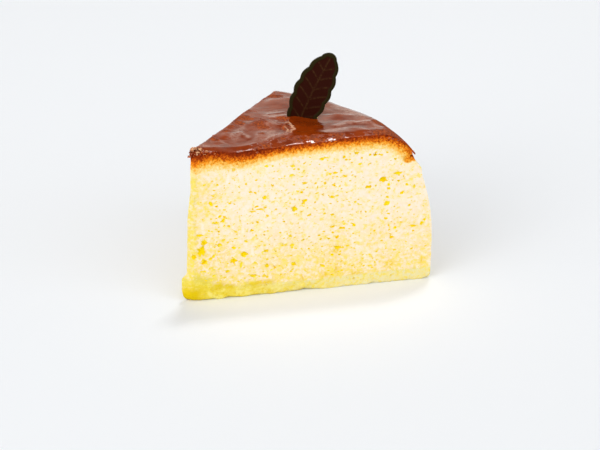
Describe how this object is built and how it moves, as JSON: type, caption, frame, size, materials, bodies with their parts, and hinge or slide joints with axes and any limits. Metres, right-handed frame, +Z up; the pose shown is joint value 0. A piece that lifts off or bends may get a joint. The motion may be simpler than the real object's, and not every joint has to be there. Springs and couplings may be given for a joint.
{
  "type": "cheesecake slice",
  "caption": "Tall wedge of airy baked cheesecake with a browned, glazed top that rounds over at the rim, a thin sponge base and a chocolate leaf standing in it.",
  "frame": {"origin": "middle of the slice's footprint, on the surface it stands on", "axes": "+X from the tip towards the round rim along the slice's middle line, +Y towards the cut hidden in the picture, +Z up"},
  "size_m": [0.092, 0.0768, 0.0815],
  "materials": {
    "crumb": "matte",
    "sponge": "matte",
    "chocolate": "satin"
  },
  "bodies": {
    "root": {"cheese_crumb": "crumb", "sponge_base": "sponge", "chocolate_leaf": "chocolate"}
  },
  "joints": []
}
